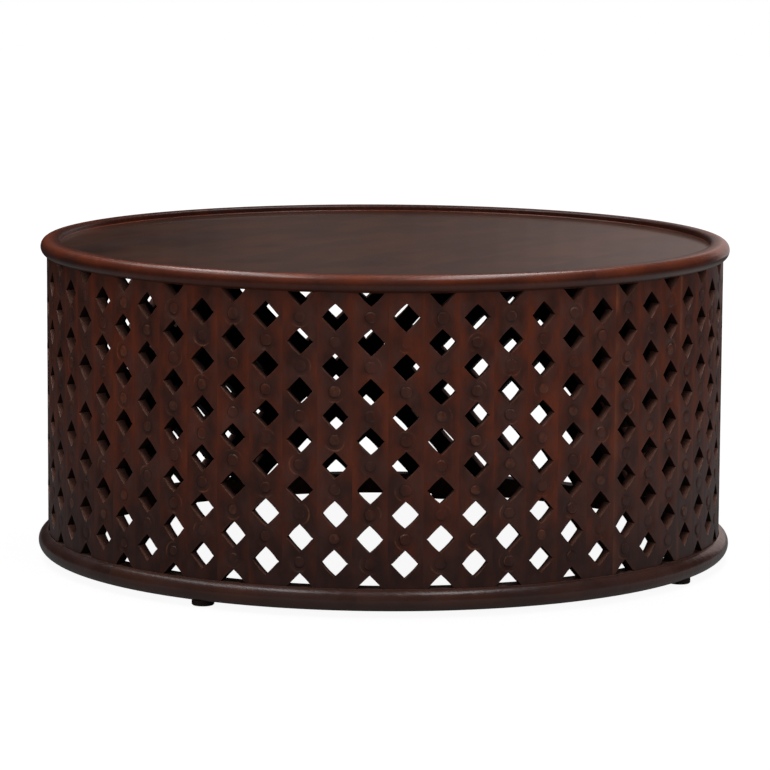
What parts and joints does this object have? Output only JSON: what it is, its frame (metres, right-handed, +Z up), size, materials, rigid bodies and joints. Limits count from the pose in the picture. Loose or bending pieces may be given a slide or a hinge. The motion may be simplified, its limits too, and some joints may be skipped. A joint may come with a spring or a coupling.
{
  "type": "african drum table",
  "caption": "Round low drum table: pierced diamond lattice wall of carved staves between two half-round rings, with a recessed round board top and an open underside.",
  "frame": {"origin": "on the floor under the middle of the table", "axes": "+Z up along the drum's axis, -Y to the front of the picture"},
  "size_m": [1, 1, 0.46],
  "materials": {
    "stave_wood": "satin lacquer over a dark red-brown stain",
    "rim_wood": "satin lacquer over a dark red-brown stain",
    "base_ring_wood": "satin lacquer over a dark red-brown stain",
    "top_wood": "satin lacquer over a dark brown stain",
    "batten_wood": "stained, thin lacquer",
    "pad_rubber": "matt",
    "screw_steel": "zinc plated"
  },
  "bodies": {
    "root": {"base_felloe_1": "base_ring_wood", "rim_felloe_1": "rim_wood", "base_felloe_2": "base_ring_wood", "rim_felloe_2": "rim_wood", "base_felloe_3": "base_ring_wood", "rim_felloe_3": "rim_wood", "base_felloe_4": "base_ring_wood", "rim_felloe_4": "rim_wood", "base_felloe_5": "base_ring_wood", "rim_felloe_5": "rim_wood", "base_felloe_6": "base_ring_wood", "rim_felloe_6": "rim_wood", "base_felloe_7": "base_ring_wood", "rim_felloe_7": "rim_wood", "base_felloe_8": "base_ring_wood", "rim_felloe_8": "rim_wood", "stave_pair_01": "stave_wood", "stave_pair_02": "stave_wood", "stave_pair_03": "stave_wood", "stave_pair_04": "stave_wood", "stave_pair_05": "stave_wood", "stave_pair_06": "stave_wood", "stave_pair_07": "stave_wood", "stave_pair_08": "stave_wood", "stave_pair_09": "stave_wood", "stave_pair_10": "stave_wood", "stave_pair_11": "stave_wood", "stave_pair_12": "stave_wood", "stave_pair_13": "stave_wood", "stave_pair_14": "stave_wood", "stave_pair_15": "stave_wood", "stave_pair_16": "stave_wood", "stave_pair_17": "stave_wood", "stave_pair_18": "stave_wood", "stave_pair_19": "stave_wood", "stave_pair_20": "stave_wood", "stave_pair_21": "stave_wood", "stave_pair_22": "stave_wood", "stave_pair_23": "stave_wood", "stave_pair_24": "stave_wood", "stave_pair_25": "stave_wood", "stave_pair_26": "stave_wood", "stave_pair_27": "stave_wood", "stave_pair_28": "stave_wood", "stave_pair_29": "stave_wood", "stave_pair_30": "stave_wood", "stave_pair_31": "stave_wood", "stave_pair_32": "stave_wood", "top_board_1": "top_wood", "top_board_2": "top_wood", "top_board_3": "top_wood", "top_board_4": "top_wood", "top_board_5": "top_wood", "top_board_6": "top_wood", "top_board_7": "top_wood", "top_batten_front": "batten_wood", "top_batten_back": "batten_wood", "foot_pads": "pad_rubber", "foot_screws": "screw_steel", "batten_screws": "screw_steel"}
  },
  "joints": []
}
